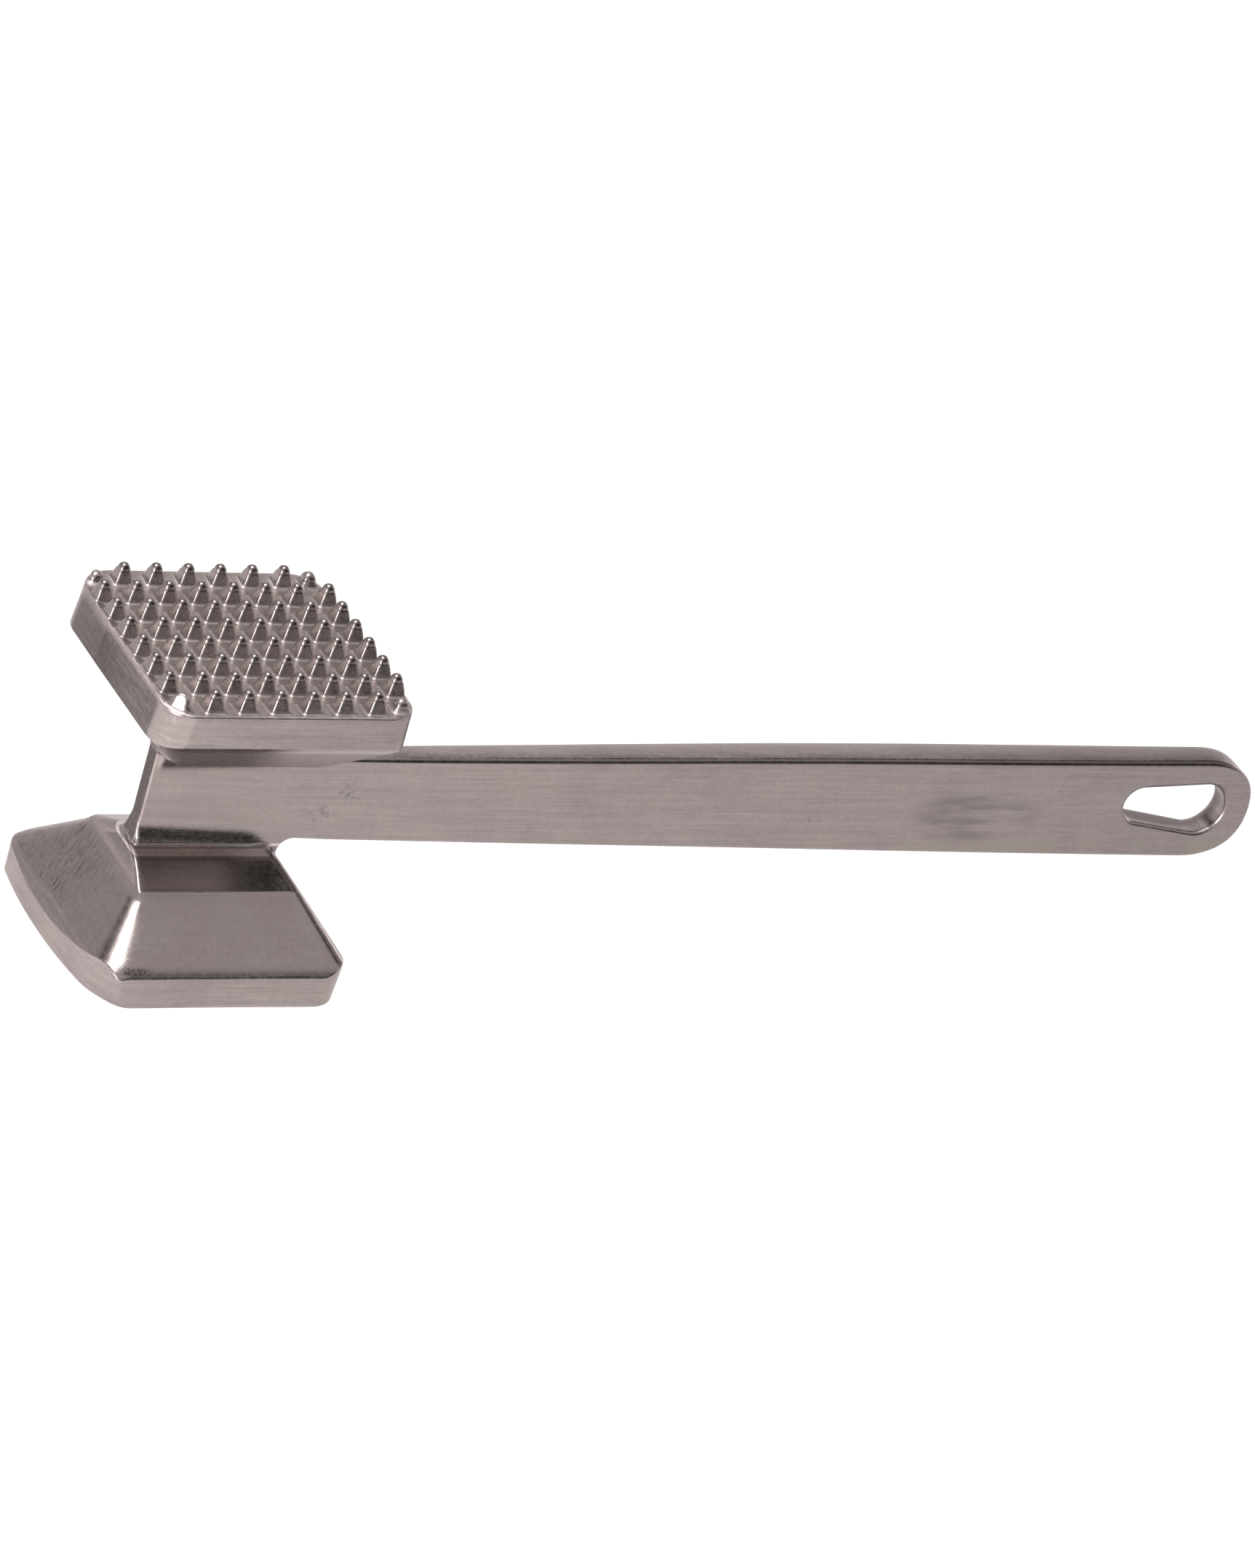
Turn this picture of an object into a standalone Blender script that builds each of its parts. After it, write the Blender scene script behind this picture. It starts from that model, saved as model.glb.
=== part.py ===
"""Cast meat mallet: one flat bar that is both grip and web, and a head that
flares out from the web to a studded striking face above and a smooth striking
face below.

Frame: metres. The origin is the centre of the smooth striking face, +Z runs up
through the head to the studs, +X runs along the grip to its hanging hole, and
+Y is to the left of someone looking along the grip from the head. The head's
toe is its -X side, and its heel is the side towards the grip.
"""
import math

import bmesh
import bpy
from mathutils import Matrix, Vector

# --------------------------------------------------------------------- studs
PITCH = 0.00825            # stud to stud, both ways
STUDS = 8                  # studs along each side of the face
STUD_BASE = 0.00483        # side of a stud's square foot
STUD_TIP = 0.0007          # side of the small flat on a stud's tip
STUD_HEIGHT = 0.00505
CORNER_STUD_HEIGHT = 0.0028  # the four corner studs are stubs
STUD_SINK = 0.0012         # how far the studs reach down into the plate

# ----------------------------------------------------------- striking plates
FACE_TOE = 0.0330          # the face's reach away from the grip
STUDDED_HEEL = 0.0320      # the studded plate's reach towards the grip
SMOOTH_HEEL = 0.0327       # the smooth plate's reach towards the grip
FACE_HALF_Y = 0.0327       # half the striking face across the grip
FACE_CORNER = 0.0090       # plan radius of the plates' corners
TOE_CORNER = 0.0140        # larger radius on the smooth plate's toe side
TOE_BOW = 0.0008           # how far the smooth plate's toe bulges
PLATE_EDGE = 0.0005        # small break on the plates' edges
SMOOTH_TOP = 0.0086        # top of the smooth plate
STUDDED_BOTTOM = 0.0696    # bottom of the studded plate
STUDDED_TOP = 0.0785       # floor between the studs
TRIM_DEPTH = 0.060         # height of the cutter that trims the studs
FIT = 0.0003               # clearance between neighbouring solids

# -------------------------------------------------------------------- flares
SHOULDER_TOE = -0.0202     # where the steep flare turns into the shallow roof
SHOULDER_HEEL = 0.0204
SHOULDER_HALF_Y = 0.0173
SHOULDER_RISE = 0.0135     # height of the steep flare
ROOF_TOE = -0.0185         # narrow end of the shallow roof, next to the web
ROOF_HEEL = 0.0212
ROOF_HALF_Y = 0.0050
ROOF_CORNER = 0.0014
ROOF_RISE = 0.0180         # height of flare and roof together
UPPER_TOE_SHIFT = 0.0018   # the upper shoulder and roof are this much shorter
RIM_RINGS = (              # inset from the plate, corner radius, rise
    (0.0002, FACE_CORNER, 0.0),
    (0.0006, FACE_CORNER - 0.0002, 0.0003),
)
SHOULDER_RINGS = (         # growth in X, growth in Y, corner radius, extra rise
    (0.0006, 0.0006, 0.0030, -0.0007),
    (-0.0003, -0.0008, 0.0022, 0.0001),
)

# ------------------------------------------------------------------------ bar
WEB_TOE = -0.0165          # toe end of the web
WEB_BOTTOM = SMOOTH_TOP + ROOF_RISE + FIT
WEB_TOP = STUDDED_BOTTOM - ROOF_RISE - FIT
GRIP_LOW_HEAD = 0.0273     # height of the grip's lower edge next to the head
GRIP_HIGH_HEAD = 0.0505    # and of its upper edge
GRIP_LOW_BENDS = ((0.140, 0.0260),)   # X and Z where the lower edge turns
GRIP_HIGH_BENDS = ((0.170, 0.0523), (0.140, 0.0520))
GRIP_CENTRE = 0.0380       # height of the middle of the grip's rounded end
GRIP_ROOT = 0.0246         # X where the grip's edges begin
GRIP_SHOULDER = 0.2706     # X where they end and the rounded end begins
GRIP_END = 0.2864          # X of the rounded end's tip
GRIP_HALF_END = 0.0143     # half the grip's height at its rounded end
END_POWER = 2.3            # 2 would make the rounded end an ellipse
ROOT_FILLET = 0.0042       # radius between the grip's edge and the head
BAR_STATIONS = (           # X, and half the bar's thickness there
    (WEB_TOE, 0.0024),
    (0.0550, 0.0040),      # just outside the head
    (0.1900, 0.0051),      # the palm
    (GRIP_END, 0.0044),
)
BAR_EDGE = 0.0012          # rounding of the bar's long edges
BLANK_THICKNESS = 1.0      # provisional, until the stations set the thickness

HOLE_NARROW = (0.2544, 0.0392)    # X and Z of the hanging hole's narrow arc
HOLE_NARROW_R = 0.0051
HOLE_WIDE = (0.2725, 0.0381)      # X and Z of its wide arc
HOLE_WIDE_R = 0.0071

# ------------------------------------------------- straight pieces to an arc
ARC = 8                    # a quarter circle of an outline
FLARE_ARC = 6              # a corner of a flare's ring
ROOT_ARC = 5               # a root fillet
BOW_PIECES = 4             # half the bowed toe

MERGE = 0.00001            # distance under which points count as one

# ------------------------------------------------------------------- colours
PLATE_COLOUR = (0.42, 0.38, 0.38)
FLARE_COLOUR = (0.38, 0.35, 0.34)
HANDLE_COLOUR = (0.40, 0.37, 0.36)


# -------------------------------------------------------------------- helpers
def new_collection(name):
    collection = bpy.data.collections.new(name)
    bpy.context.scene.collection.children.link(collection)
    return collection


def metal(name, colour, roughness):
    """Cast aluminium, one material to a part."""
    material = bpy.data.materials.new(name)
    material.use_nodes = True
    shader = material.node_tree.nodes["Principled BSDF"]
    shader.inputs["Base Color"].default_value = (*colour, 1.0)
    shader.inputs["Metallic"].default_value = 1.0
    shader.inputs["Roughness"].default_value = roughness
    return material


def finish(obj, material, sharp_angle=40):
    """Material and smooth shading, sharp where faces turn by more degrees."""
    obj.data.materials.append(material)
    obj.data.shade_smooth()
    obj.data.set_sharp_from_angle(angle=math.radians(sharp_angle))


def break_edges(obj, width, segments, angle):
    bevel = obj.modifiers.new("edges", "BEVEL")
    bevel.width = width
    bevel.segments = segments
    bevel.limit_method = "ANGLE"
    bevel.angle_limit = math.radians(angle)
    bevel.use_clamp_overlap = True


def boolean(obj, cutter, operation):
    modifier = obj.modifiers.new(cutter.name, "BOOLEAN")
    modifier.operation = operation
    modifier.solver = "EXACT"
    modifier.object = cutter


def hide_cutter(obj):
    obj.hide_render = True
    obj.display_type = "WIRE"


def object_from(work, mesh, collection):
    """Write the bmesh into the mesh, and link an object of the same name."""
    work.to_mesh(mesh)
    work.free()
    obj = bpy.data.objects.new(mesh.name, mesh)
    collection.objects.link(obj)
    return obj


def slab(name, outlines, thickness, collection, centre_z=0.0):
    """Filled outlines in the object's XY plane, thickened both ways."""
    curve = bpy.data.curves.new(name + "_outline", "CURVE")
    curve.dimensions = "2D"
    curve.fill_mode = "BOTH"
    curve.extrude = thickness / 2
    for outline in outlines:
        line = curve.splines.new("POLY")
        line.points.add(len(outline) - 1)
        for point, (x, y) in zip(line.points, outline):
            point.co = (x, y, 0.0, 1.0)
        line.use_cyclic_u = True
    flat = bpy.data.objects.new(name + "_curve", curve)
    collection.objects.link(flat)
    bpy.context.view_layer.update()
    ready = flat.evaluated_get(bpy.context.evaluated_depsgraph_get())
    mesh = bpy.data.meshes.new_from_object(ready)
    bpy.data.objects.remove(flat, do_unlink=True)
    bpy.data.curves.remove(curve)
    mesh.name = name

    # weld the caps to the sides and merge the caps' triangles
    work = bmesh.new()
    work.from_mesh(mesh)
    bmesh.ops.remove_doubles(work, verts=work.verts, dist=MERGE)
    bmesh.ops.dissolve_limit(work, angle_limit=math.radians(0.5),
                             verts=work.verts, edges=work.edges)
    bmesh.ops.recalc_face_normals(work, faces=work.faces)
    obj = object_from(work, mesh, collection)
    obj.location = (0.0, 0.0, centre_z)
    return obj


# ------------------------------------------------------------------- outlines
def arc(centre_x, centre_y, radius, start, end, steps=ARC):
    """Points on an arc, angles in degrees, both ends included."""
    angles = [math.radians(start + (end - start) * i / steps)
              for i in range(steps + 1)]
    return [(centre_x + radius * math.cos(angle), centre_y + radius * math.sin(angle))
            for angle in angles]


def face_outline(heel, toe_radius=FACE_CORNER, bow=0.0):
    """Plan of a striking plate, anticlockwise from its heel corner at -Y."""
    heel_x = heel - FACE_CORNER
    heel_y = FACE_HALF_Y - FACE_CORNER
    toe_x = -FACE_TOE + toe_radius
    toe_y = FACE_HALF_Y - toe_radius
    points = arc(heel_x, -heel_y, FACE_CORNER, -90, 0)
    points += arc(heel_x, heel_y, FACE_CORNER, 0, 90)
    points += arc(toe_x, toe_y, toe_radius, 90, 180)
    if bow:
        points += [(-FACE_TOE, toe_y * i / BOW_PIECES)
                   for i in range(BOW_PIECES - 1, -BOW_PIECES, -1)]
    points += arc(toe_x, -toe_y, toe_radius, 180, 270)

    def bowed(x, y):
        if x >= 0:
            return x, y
        return x - bow * (x / FACE_TOE) ** 4 * (1 - (y / FACE_HALF_Y) ** 2), y

    return [bowed(x, y) for x, y in points]


def grip_end_outline():
    """Rounded end: half a superellipse, a little squarer than an ellipse."""
    steps = 3 * ARC
    points = []
    for i in range(steps + 1):
        angle = -math.pi / 2 + math.pi * i / steps
        across = math.sin(angle)
        along = max(0.0, math.cos(angle))
        reach = along ** (2 / END_POWER)
        height = math.copysign(abs(across) ** (2 / END_POWER), across)
        points.append((GRIP_SHOULDER + (GRIP_END - GRIP_SHOULDER) * reach,
                       GRIP_CENTRE + GRIP_HALF_END * height))
    return points


def bar_outline():
    """Side view of the bar in X and Z, anticlockwise from the web's toe."""
    # each root is a concave arc between the web and an edge of the grip
    low_centre = GRIP_LOW_HEAD - ROOT_FILLET
    low_sweep = math.degrees(math.asin((WEB_BOTTOM - low_centre) / ROOT_FILLET))
    high_centre = GRIP_HIGH_HEAD + ROOT_FILLET
    high_sweep = math.degrees(math.asin((high_centre - WEB_TOP) / ROOT_FILLET))
    return [
        (WEB_TOE, WEB_TOP),
        (WEB_TOE, WEB_BOTTOM),
        *arc(GRIP_ROOT, low_centre, ROOT_FILLET, 180 - low_sweep, 90, ROOT_ARC),
        *GRIP_LOW_BENDS,
        *grip_end_outline(),
        *GRIP_HIGH_BENDS,
        *arc(GRIP_ROOT, high_centre, ROOT_FILLET, 270, 180 + high_sweep, ROOT_ARC),
    ]


def hole_outline():
    """Teardrop: a narrow and a wide arc joined by their common tangents."""
    run = Vector(HOLE_WIDE) - Vector(HOLE_NARROW)
    tilt = math.degrees(math.atan2(run.y, run.x))
    lean = math.degrees(math.acos((HOLE_NARROW_R - HOLE_WIDE_R) / run.length))
    wide = arc(*HOLE_WIDE, HOLE_WIDE_R, tilt - lean, tilt + lean, 2 * ARC)
    narrow = arc(*HOLE_NARROW, HOLE_NARROW_R, tilt + lean, tilt + 360 - lean, 2 * ARC)
    return wide + narrow


# --------------------------------------------------------- smooth face plate
def build_smooth_plate():
    plate = slab("smooth_face_plate", [face_outline(SMOOTH_HEEL, TOE_CORNER, TOE_BOW)],
                 SMOOTH_TOP, parts, centre_z=SMOOTH_TOP / 2)
    break_edges(plate, PLATE_EDGE, segments=2, angle=60)
    finish(plate, metal("smooth_plate_metal", PLATE_COLOUR, roughness=0.32))


# --------------------------------------------------------------- head flares
def ring(work, toe, heel, half_y, radius, z):
    """One rounded rectangle of a loft; every ring has as many points."""
    corners = (
        (heel - radius, -1, -90),
        (heel - radius, 1, 0),
        (toe + radius, 1, 90),
        (toe + radius, -1, 180),
    )
    points = []
    for x, side, start in corners:
        points += arc(x, side * (half_y - radius), radius, start, start + 90, FLARE_ARC)
    return [work.verts.new((x, y, z)) for x, y in points]


def build_flare(side, rim, lift, plate_heel, toe_shift=0.0):
    """Head flare lofted from its plate to the web. rim is the height of its
    wide end, and lift is +1 or -1 for narrowing upwards or downwards."""
    # toe, heel, half width, corner radius, distance from the rim
    sections = [(-FACE_TOE + inset, plate_heel - inset, FACE_HALF_Y - inset, radius, rise)
                for inset, radius, rise in RIM_RINGS]
    sections += [(SHOULDER_TOE + toe_shift - grow_x, SHOULDER_HEEL + grow_x,
                  SHOULDER_HALF_Y + grow_y, radius, SHOULDER_RISE + rise)
                 for grow_x, grow_y, radius, rise in SHOULDER_RINGS]
    sections.append((ROOF_TOE + toe_shift, ROOF_HEEL, ROOF_HALF_Y, ROOF_CORNER,
                     ROOF_RISE - FIT))

    work = bmesh.new()
    rings = [ring(work, toe, heel, half_y, radius, rim + lift * rise)
             for toe, heel, half_y, radius, rise in sections]
    count = len(rings[0])
    for near, far in zip(rings, rings[1:]):
        for i in range(count):
            j = (i + 1) % count
            work.faces.new((near[i], near[j], far[j], far[i]))
    work.faces.new(rings[0])
    work.faces.new(rings[-1])
    bmesh.ops.recalc_face_normals(work, faces=work.faces)
    flare = object_from(work, bpy.data.meshes.new(side + "_head_flare"), parts)
    finish(flare, metal(side + "_flare_metal", FLARE_COLOUR, roughness=0.34),
           sharp_angle=20)


# -------------------------------------------------------- studded face plate
def add_stud(work, x, y, height):
    """Square pyramid with a small flat tip, sunk a little into the plate so
    that the two overlap before they are joined."""
    slope = (STUD_BASE - STUD_TIP) / STUD_HEIGHT
    stud = bmesh.ops.create_cone(
        work, cap_ends=True, segments=4,
        radius1=(STUD_BASE + slope * STUD_SINK) / math.sqrt(2),
        radius2=(STUD_BASE - slope * height) / math.sqrt(2),
        depth=height + STUD_SINK)
    bmesh.ops.rotate(work, verts=stud["verts"], cent=(0, 0, 0),
                     matrix=Matrix.Rotation(math.radians(45), 3, "Z"))
    bmesh.ops.translate(work, verts=stud["verts"],
                        vec=Vector((x, y, STUDDED_TOP + (height - STUD_SINK) / 2)))


def build_stud_field():
    work = bmesh.new()
    middle = (STUDS - 1) / 2
    ends = (0, STUDS - 1)
    for column in range(STUDS):
        for row in range(STUDS):
            corner = column in ends and row in ends
            add_stud(work, (column - middle) * PITCH, (row - middle) * PITCH,
                     CORNER_STUD_HEIGHT if corner else STUD_HEIGHT)
    studs = object_from(work, bpy.data.meshes.new("stud_field"), cutters)
    hide_cutter(studs)
    return studs


def build_studded_plate():
    outline = face_outline(STUDDED_HEEL)
    plate = slab("studded_face_plate", [outline], STUDDED_TOP - STUDDED_BOTTOM, parts,
                 centre_z=(STUDDED_TOP + STUDDED_BOTTOM) / 2)
    break_edges(plate, PLATE_EDGE, segments=2, angle=60)
    studs = build_stud_field()
    # the face's outline trims whatever the studs overhang
    trim = slab("face_trim", [outline], TRIM_DEPTH, cutters, centre_z=STUDDED_TOP)
    hide_cutter(trim)
    boolean(plate, studs, "UNION")
    boolean(plate, trim, "INTERSECT")
    finish(plate, metal("studded_plate_metal", PLATE_COLOUR, roughness=0.36))


# ---------------------------------------------------------------- handle bar
def half_thickness(x):
    """Half the bar's thickness at x, straight between the stations."""
    for (x0, half0), (x1, half1) in zip(BAR_STATIONS, BAR_STATIONS[1:]):
        if x <= x1 + MERGE:
            break
    return half0 + (half1 - half0) * (x - x0) / (x1 - x0)


def build_bar():
    bar = slab("handle_bar", [bar_outline(), hole_outline()], BLANK_THICKNESS, parts)
    # cut lines across the bar where its taper changes
    work = bmesh.new()
    work.from_mesh(bar.data)
    for station, _ in BAR_STATIONS[1:-1]:
        bmesh.ops.bisect_plane(work, geom=work.verts[:] + work.edges[:] + work.faces[:],
                               dist=MERGE, plane_co=(station, 0, 0), plane_no=(1, 0, 0))
    work.to_mesh(bar.data)
    work.free()
    # stand the outline up from XY into XZ, and give it its tapered thickness
    for vert in bar.data.vertices:
        x, z, side = vert.co.x, vert.co.y, -vert.co.z
        vert.co = (x, math.copysign(half_thickness(x), side), z)
    break_edges(bar, BAR_EDGE, segments=3, angle=50)
    finish(bar, metal("handle_metal", HANDLE_COLOUR, roughness=0.33))


# --------------------------------------------------------------------- build
for old in list(bpy.data.objects):
    bpy.data.objects.remove(old, do_unlink=True)

parts = new_collection("meat_mallet")
cutters = new_collection("cutters")

build_smooth_plate()
build_flare("lower", SMOOTH_TOP + FIT, 1, SMOOTH_HEEL)
build_flare("upper", STUDDED_BOTTOM - FIT, -1, STUDDED_HEEL, UPPER_TOE_SHIFT)
build_studded_plate()
build_bar()
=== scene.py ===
"""Cast aluminium meat mallet: five castings meshed over its CAD frame.

The castings are one implicit solid in millimetres, negative inside. Each piece
is meshed from it between level cuts in the narrow gaps between the CAD nodes.
The smooth striking face lies on the floor at z = 0 and the studded one points
up at z = 78 to 84. The grip runs out along +X. In names, "toe" is the head's
-X end, "heel" its +X end, "near" the -Y side and "far" the +Y side.
"""
import math

import bpy
import numpy as np
from mathutils import Matrix, Vector


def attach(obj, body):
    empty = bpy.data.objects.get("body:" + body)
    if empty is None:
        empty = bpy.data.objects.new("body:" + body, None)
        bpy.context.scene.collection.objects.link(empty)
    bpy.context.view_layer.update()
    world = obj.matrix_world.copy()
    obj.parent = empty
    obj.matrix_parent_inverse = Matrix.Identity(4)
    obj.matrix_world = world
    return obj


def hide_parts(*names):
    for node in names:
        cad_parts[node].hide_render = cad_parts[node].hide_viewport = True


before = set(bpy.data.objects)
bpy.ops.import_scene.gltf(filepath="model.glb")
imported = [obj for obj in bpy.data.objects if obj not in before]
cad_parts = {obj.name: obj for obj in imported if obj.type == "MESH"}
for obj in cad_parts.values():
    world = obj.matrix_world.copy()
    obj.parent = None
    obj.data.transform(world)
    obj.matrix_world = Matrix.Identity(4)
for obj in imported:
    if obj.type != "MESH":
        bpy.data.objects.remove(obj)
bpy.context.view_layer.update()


# ---------------------------------------------------------------- shape tools
def soft_max(a, b, band):
    """Larger of two, the crease rounded over a band."""
    h = np.maximum(band - np.abs(a - b), 0.0) / band
    return np.maximum(a, b) + h * h * band * 0.25


def soft_min(a, b, band):
    return -soft_max(-a, -b, band)


def round_max(a, b, radius):
    """Larger of two, a square corner rounded to a radius."""
    return (np.minimum(np.maximum(a, b), -radius)
            + np.hypot(np.maximum(a + radius, 0.0), np.maximum(b + radius, 0.0)))


def round_min(a, b, radius):
    return -round_max(-a, -b, radius)


def smooth_step(start, stop, value):
    t = np.clip((value - start) / (stop - start), 0.0, 1.0)
    return t * t * (3 - 2 * t)


def plane(u, v, normal, through):
    """Distance from a line in the (u, v) plane, along its normal."""
    return normal[0] * (u - through[0]) + normal[1] * (v - through[1])


def ripple(x, y, z, size):
    """Faint unevenness of a hand-finished casting, between 0 and 1."""
    a = np.sin(x / (2.9 * size) + 0.8 * np.sin(y / (3.7 * size)) + 1.3)
    b = np.sin(y / (2.3 * size) + 0.9 * np.sin(z / (2.1 * size)) + 0.4)
    c = np.sin(z / (1.9 * size) + 0.7 * np.sin(x / (4.3 * size)) + 2.2)
    return 0.5 + (a * b + b * c + c * a) / 6.0


# ----------------------------------------------------------------------- head
HEAD_TOP = 78.2            # the upper head is measured down from here
STUD_ROOT = 78.5
PLATE_HALF_Y = 32.7
PLATE_RIM = 8.6            # height at which a plate turns into its flare
TOE_REACH = 33.74
# (|y|, z) points of the flare's profile, z counted from the striking side
WORN_EDGE = (32.75, 7.95)
SHOULDER = (17.3, 22.1)
LEDGE = (8.25, 26.2)
SHOULDER_Z = SHOULDER[1]


def lower_plan(x, y, z):
    """Outline of the lower plate in plan; the near toe corner is worn."""
    rise = np.clip(z / PLATE_RIM, 0.0, 1.0)
    reach = (TOE_REACH - 0.0031 * (y - 3.5) ** 2
             - (0.026 - 0.017 * rise) * np.maximum(-y - 20.0, 0.0) ** 2)
    toe = -x - reach
    heel = x - (30.8 + 0.8 * rise)
    near, far = -y - PLATE_HALF_Y, y - PLATE_HALF_Y
    near_heel = round_max(heel, near, radius=7.0)
    far_side = round_max(toe, far, radius=5.5)
    far_side = round_max(far_side, round_max(heel, far, radius=8.0), radius=0.1)
    near_toe = soft_max(toe, near, band=2.4 - 1.8 * rise)
    return np.maximum(np.maximum(far_side, near_toe), near_heel)


def upper_plan(x, y, z):
    """Outline of the upper plate in plan."""
    reach = 32.45 + 0.115 * (STUD_ROOT - z) - 0.012 * y
    reach = reach - 0.055 * np.maximum(y - 8.0, 0.0)
    toe = -x - np.minimum(reach, TOE_REACH)
    heel = x - 31.7
    near, far = -y - PLATE_HALF_Y, y - PLATE_HALF_Y
    toes = np.maximum(round_max(toe, near, radius=7.5), round_max(toe, far, radius=8.5))
    heels = np.maximum(round_max(heel, near, radius=8.0), round_max(heel, far, radius=8.5))
    return np.maximum(toes, heels)


def flare(x, y, z, toe, heel):
    """Head flare between a plate and the web, closed by sloping end planes."""
    ay = np.abs(y)
    side = plane(ay, z, (0.659, 0.752), SHOULDER)
    side = soft_max(side, plane(ay, z, (0.883, 0.469), WORN_EDGE), band=0.9)
    roof = plane(ay, z, (0.4127, 0.9109), SHOULDER)
    bead = 0.10 * np.exp(-((ay - 17.1) / 0.42) ** 2)
    top = soft_max(side, roof, band=0.35) - bead
    top = soft_max(top, plane(ay, z, (0.2075, 0.978), LEDGE), band=0.3)
    # the end creases are softer towards the plate and on the far side
    deep = np.clip((SHOULDER_Z - z) / 13.5, 0.0, 1.0)
    far = smooth_step(0.0, 9.0, y) * (1.0 - deep)
    toe_band = 1.1 + 1.3 * smooth_step(22.6, 20.0, z) + 3.0 * deep + 2.2 * far
    return soft_max(soft_max(top, toe, toe_band), heel, band=2.2 + 1.8 * deep)


def lower_head(x, y, z):
    toe = soft_min(plane(x, z, (-0.766, 0.643), (-31.5, PLATE_RIM)),
                   plane(x, z, (-0.957, 0.289), (-20.2, SHOULDER_Z)), band=1.1)
    heel = plane(x, z, (0.765, 0.644), (32.9, PLATE_RIM))
    head = soft_max(flare(x, y, z, toe, heel), lower_plan(x, y, z), band=0.22)
    return soft_max(head, -z, band=0.4)


PITCH = 8.25
FIRST, LAST = -4, 3        # stud cell numbers along x and along y
STUD_TIP = 83.5


def studs(x, y, z):
    """Field of eight by eight square-based studs with rounded tips."""
    ix = np.clip(np.floor(x / PITCH), FIRST, LAST)
    iy = np.clip(np.floor(y / PITCH), FIRST, LAST)
    corner = ((ix == FIRST) | (ix == LAST)) & ((iy == FIRST) | (iy == LAST))
    near_toe = (ix == FIRST) & (iy == FIRST)
    far_toe = (ix == FIRST) & (iy == LAST)
    near_heel = (ix == LAST) & (iy == FIRST)
    # the corner studs are lower and rounder, and three are shifted inwards
    centre_x = (ix + 0.5) * PITCH - np.where(corner & (ix == LAST), 1.4, 0.0)
    centre_x = centre_x + np.where(far_toe, 1.6, 0.0)
    centre_y = (iy + 0.5) * PITCH + np.where(near_heel, 0.8, 0.0)
    u = np.abs(x - centre_x)
    v = np.abs(y - centre_y)
    square = soft_max(u, v, band=0.65)
    flank = plane(square, z, (0.9578, 0.2873), (2.46, STUD_ROOT))
    drop = np.where(corner, 1.6, 0.0) - 0.4 * near_toe
    drop = np.where(far_toe, 2.3, drop)
    drop = np.where(near_heel, 2.1, drop)
    ball = 1.50 + 0.4 * corner + 0.5 * near_toe
    up = z - (STUD_TIP - drop - ball)
    dome = np.sqrt(0.5 * (square * square + u * u + v * v) + up * up) - ball
    stud = soft_max(flank, dome + 1.3 * np.minimum(up, 0.0), band=0.35 + 0.5 * corner)
    # the one at the near toe corner is flat on its outer side
    flat = (-0.66 * (x - centre_x) - 0.665 * (y - centre_y)
            + 0.342 * (z - STUD_ROOT) - 1.55)
    return np.where(near_toe, soft_max(stud, flat, band=0.4), stud)


def upper_head(x, y, z):
    q = HEAD_TOP - z
    toe = soft_min(plane(x, q, (-0.679, 0.734), (-33.5, 9.0)),
                   plane(x, q, (-0.957, 0.289), (-18.4, SHOULDER_Z)), band=0.5)
    heel = plane(x, q, (0.7585, 0.6517), (31.9, PLATE_RIM))
    plan = upper_plan(x, y, z)
    head = soft_max(flare(x, y, q, toe, heel), plan, band=0.22)
    # a proud, slightly wavy rim along the toe side and the far side
    proud = np.maximum(0.60 * smooth_step(-29.3, -31.8, x), smooth_step(24.5, 32.0, y))
    proud = proud * smooth_step(-32.0, -25.0, y)
    wave = 0.12 * np.sin(x * 0.7616 + 1.2) * np.sin(y * 0.7616 + 0.3)
    head = soft_max(head, z - STUD_ROOT - (0.95 + wave) * proud, band=0.6)
    field = soft_max(studs(x, y, z), plan + 0.25, band=0.9)
    field = np.maximum(field, 77.0 - z)
    return soft_min(head, field, band=0.7)


# --------------------------------------------------------------- web and grip
GRIP_Z = 38.8
GRIP_START, TAPER_LENGTH = 24.6, 246.0
START_HALF, WIDENING = 10.98, 2.62         # half height, and its gain by the end
END_X, END_LENGTH, END_HALF = 270.6, 15.8, 13.6   # the grip's rounded end
WEB_TOE, WEB_EDGE = -16.8, 20.4
# x, half thickness along the bar
STATIONS = np.array(((-16.5, 2.42), (20.0, 3.15), (55.0, 4.02), (115.0, 4.66),
                     (153.0, 5.02), (194.0, 5.12), (236.0, 4.98),
                     (270.0, 4.62), (286.4, 4.42)))
THICKNESS = np.polyfit(STATIONS[:, 0] / 100.0, STATIONS[:, 1], 5)
# the hanging hole's two end circles: x, z, radius
HOLE_SMALL = (254.4, 39.2, 4.95)
HOLE_LARGE = (272.5, 38.1, 6.95)


def hole(x, z):
    """Teardrop hanging hole, straight through the grip."""
    x0, z0, r0 = HOLE_SMALL
    x1, z1, r1 = HOLE_LARGE
    run = math.hypot(x1 - x0, z1 - z0)
    along_x, along_z = (x1 - x0) / run, (z1 - z0) / run
    u = (x - x0) * along_x + (z - z0) * along_z
    v = np.abs(-(x - x0) * along_z + (z - z0) * along_x)
    sine = (r0 - r1) / run
    cosine = math.sqrt(1 - sine * sine)
    place = -sine * v + cosine * u
    return np.where(place < 0, np.hypot(u, v) - r0,
                    np.where(place > cosine * run, np.hypot(u - run, v) - r1,
                             cosine * v + sine * u - r0))


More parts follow.
